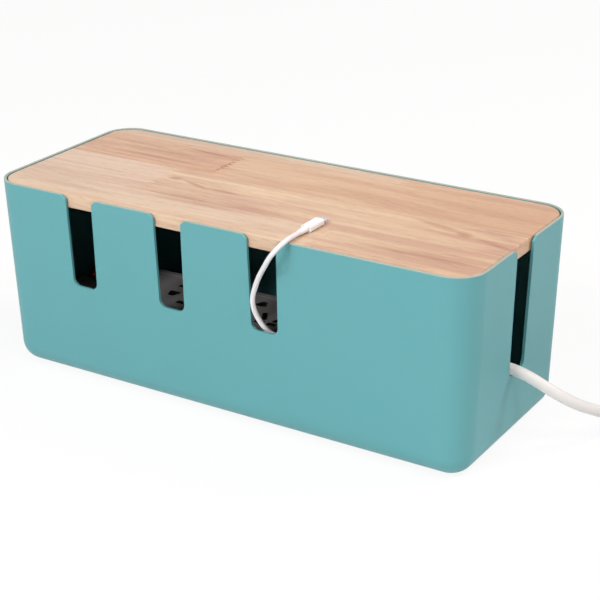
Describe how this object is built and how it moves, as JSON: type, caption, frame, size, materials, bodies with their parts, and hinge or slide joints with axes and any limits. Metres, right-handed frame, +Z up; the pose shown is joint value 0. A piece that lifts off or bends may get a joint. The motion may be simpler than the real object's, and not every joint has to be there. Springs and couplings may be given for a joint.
{
  "type": "cable management box",
  "caption": "Lidded desk box that hides a switched power strip, with open-topped cable slots in its wall and a lift-off finger-jointed wooden lid; mains lead coiled beside it.",
  "frame": {"origin": "centre of the box's footprint, on the surface its rubber feet stand on", "axes": "+X along the box towards the end the mains lead leaves by, -Y towards the side with the row of cable slots, +Z up"},
  "size_m": [0.5605, 0.2382, 0.1501],
  "materials": {
    "shell_plastic": "smooth moulded ABS, satin, sea green",
    "foot_rubber": "matt black rubber",
    "stave_pale": "pale hardwood, satin lacquer",
    "stave_pink": "pinkish hardwood, satin lacquer",
    "stave_warm": "warm hardwood, satin lacquer",
    "strip_plastic": "charcoal moulded plastic",
    "pad_rubber": "matt black rubber",
    "screw_steel": "zinc-plated steel",
    "contact_brass": "stamped brass",
    "liner_black": "black moulded plastic",
    "switch_black": "black polycarbonate",
    "rocker_red": "translucent red, lit from inside",
    "outlet_steel": "nickel-plated steel",
    "outlet_tongue": "white plastic",
    "board_green": "coated circuit board",
    "gland_rubber": "white flexible PVC",
    "cord_white": "white PVC sheath",
    "tie_white": "white strap",
    "plug_white": "white moulded plastic",
    "pin_brass": "bright brass",
    "lead_white": "white flexible sheath",
    "connector_metal": "nickel-plated steel"
  },
  "bodies": {
    "box": {"box_shell": "shell_plastic", "foot_front_left": "foot_rubber", "foot_front_right": "foot_rubber", "foot_rear_left": "foot_rubber", "foot_rear_right": "foot_rubber", "strip_base": "strip_plastic", "strip_cover": "strip_plastic", "socket_liners": "liner_black", "strip_pads": "pad_rubber", "strip_screws": "screw_steel", "live_bar": "contact_brass", "neutral_bar": "contact_brass", "earth_bar": "contact_brass", "switch_housing": "switch_black", "switch_terminals": "contact_brass", "usb_outlet_shells": "outlet_steel", "usb_outlet_tongues": "outlet_tongue", "usb_board": "board_green", "cord_gland": "gland_rubber", "mains_cord": "cord_white", "mains_coil": "cord_white", "coil_tie": "tie_white", "mains_tail": "cord_white", "plug_body": "plug_white", "plug_pins": "pin_brass"},
    "lid": {"stave_rear_left": "stave_pale", "stave_rear_right": "stave_pale", "stave_back_left": "stave_pink", "stave_back_right": "stave_warm", "stave_middle_left": "stave_pale", "stave_middle_right": "stave_warm", "stave_front_left": "stave_warm", "stave_front_right": "stave_warm", "charging_lead": "lead_white", "connector_housing": "plug_white", "connector_tip": "connector_metal", "usb_plug_body": "plug_white", "usb_plug_shell": "connector_metal"},
    "rocker": {"switch_rocker": "rocker_red"}
  },
  "joints": [
    {"name": "lid_lift", "type": "slide", "parent": "box", "child": "lid", "axis": [0, 0, 1], "range_m": [0, 0.14]},
    {"name": "rocker_tilt", "type": "hinge", "parent": "box", "child": "rocker", "pos_m": [-0.16401, 0.007, 0.046], "axis": [1, 0, 0], "range_deg": [-24, 0]}
  ]
}
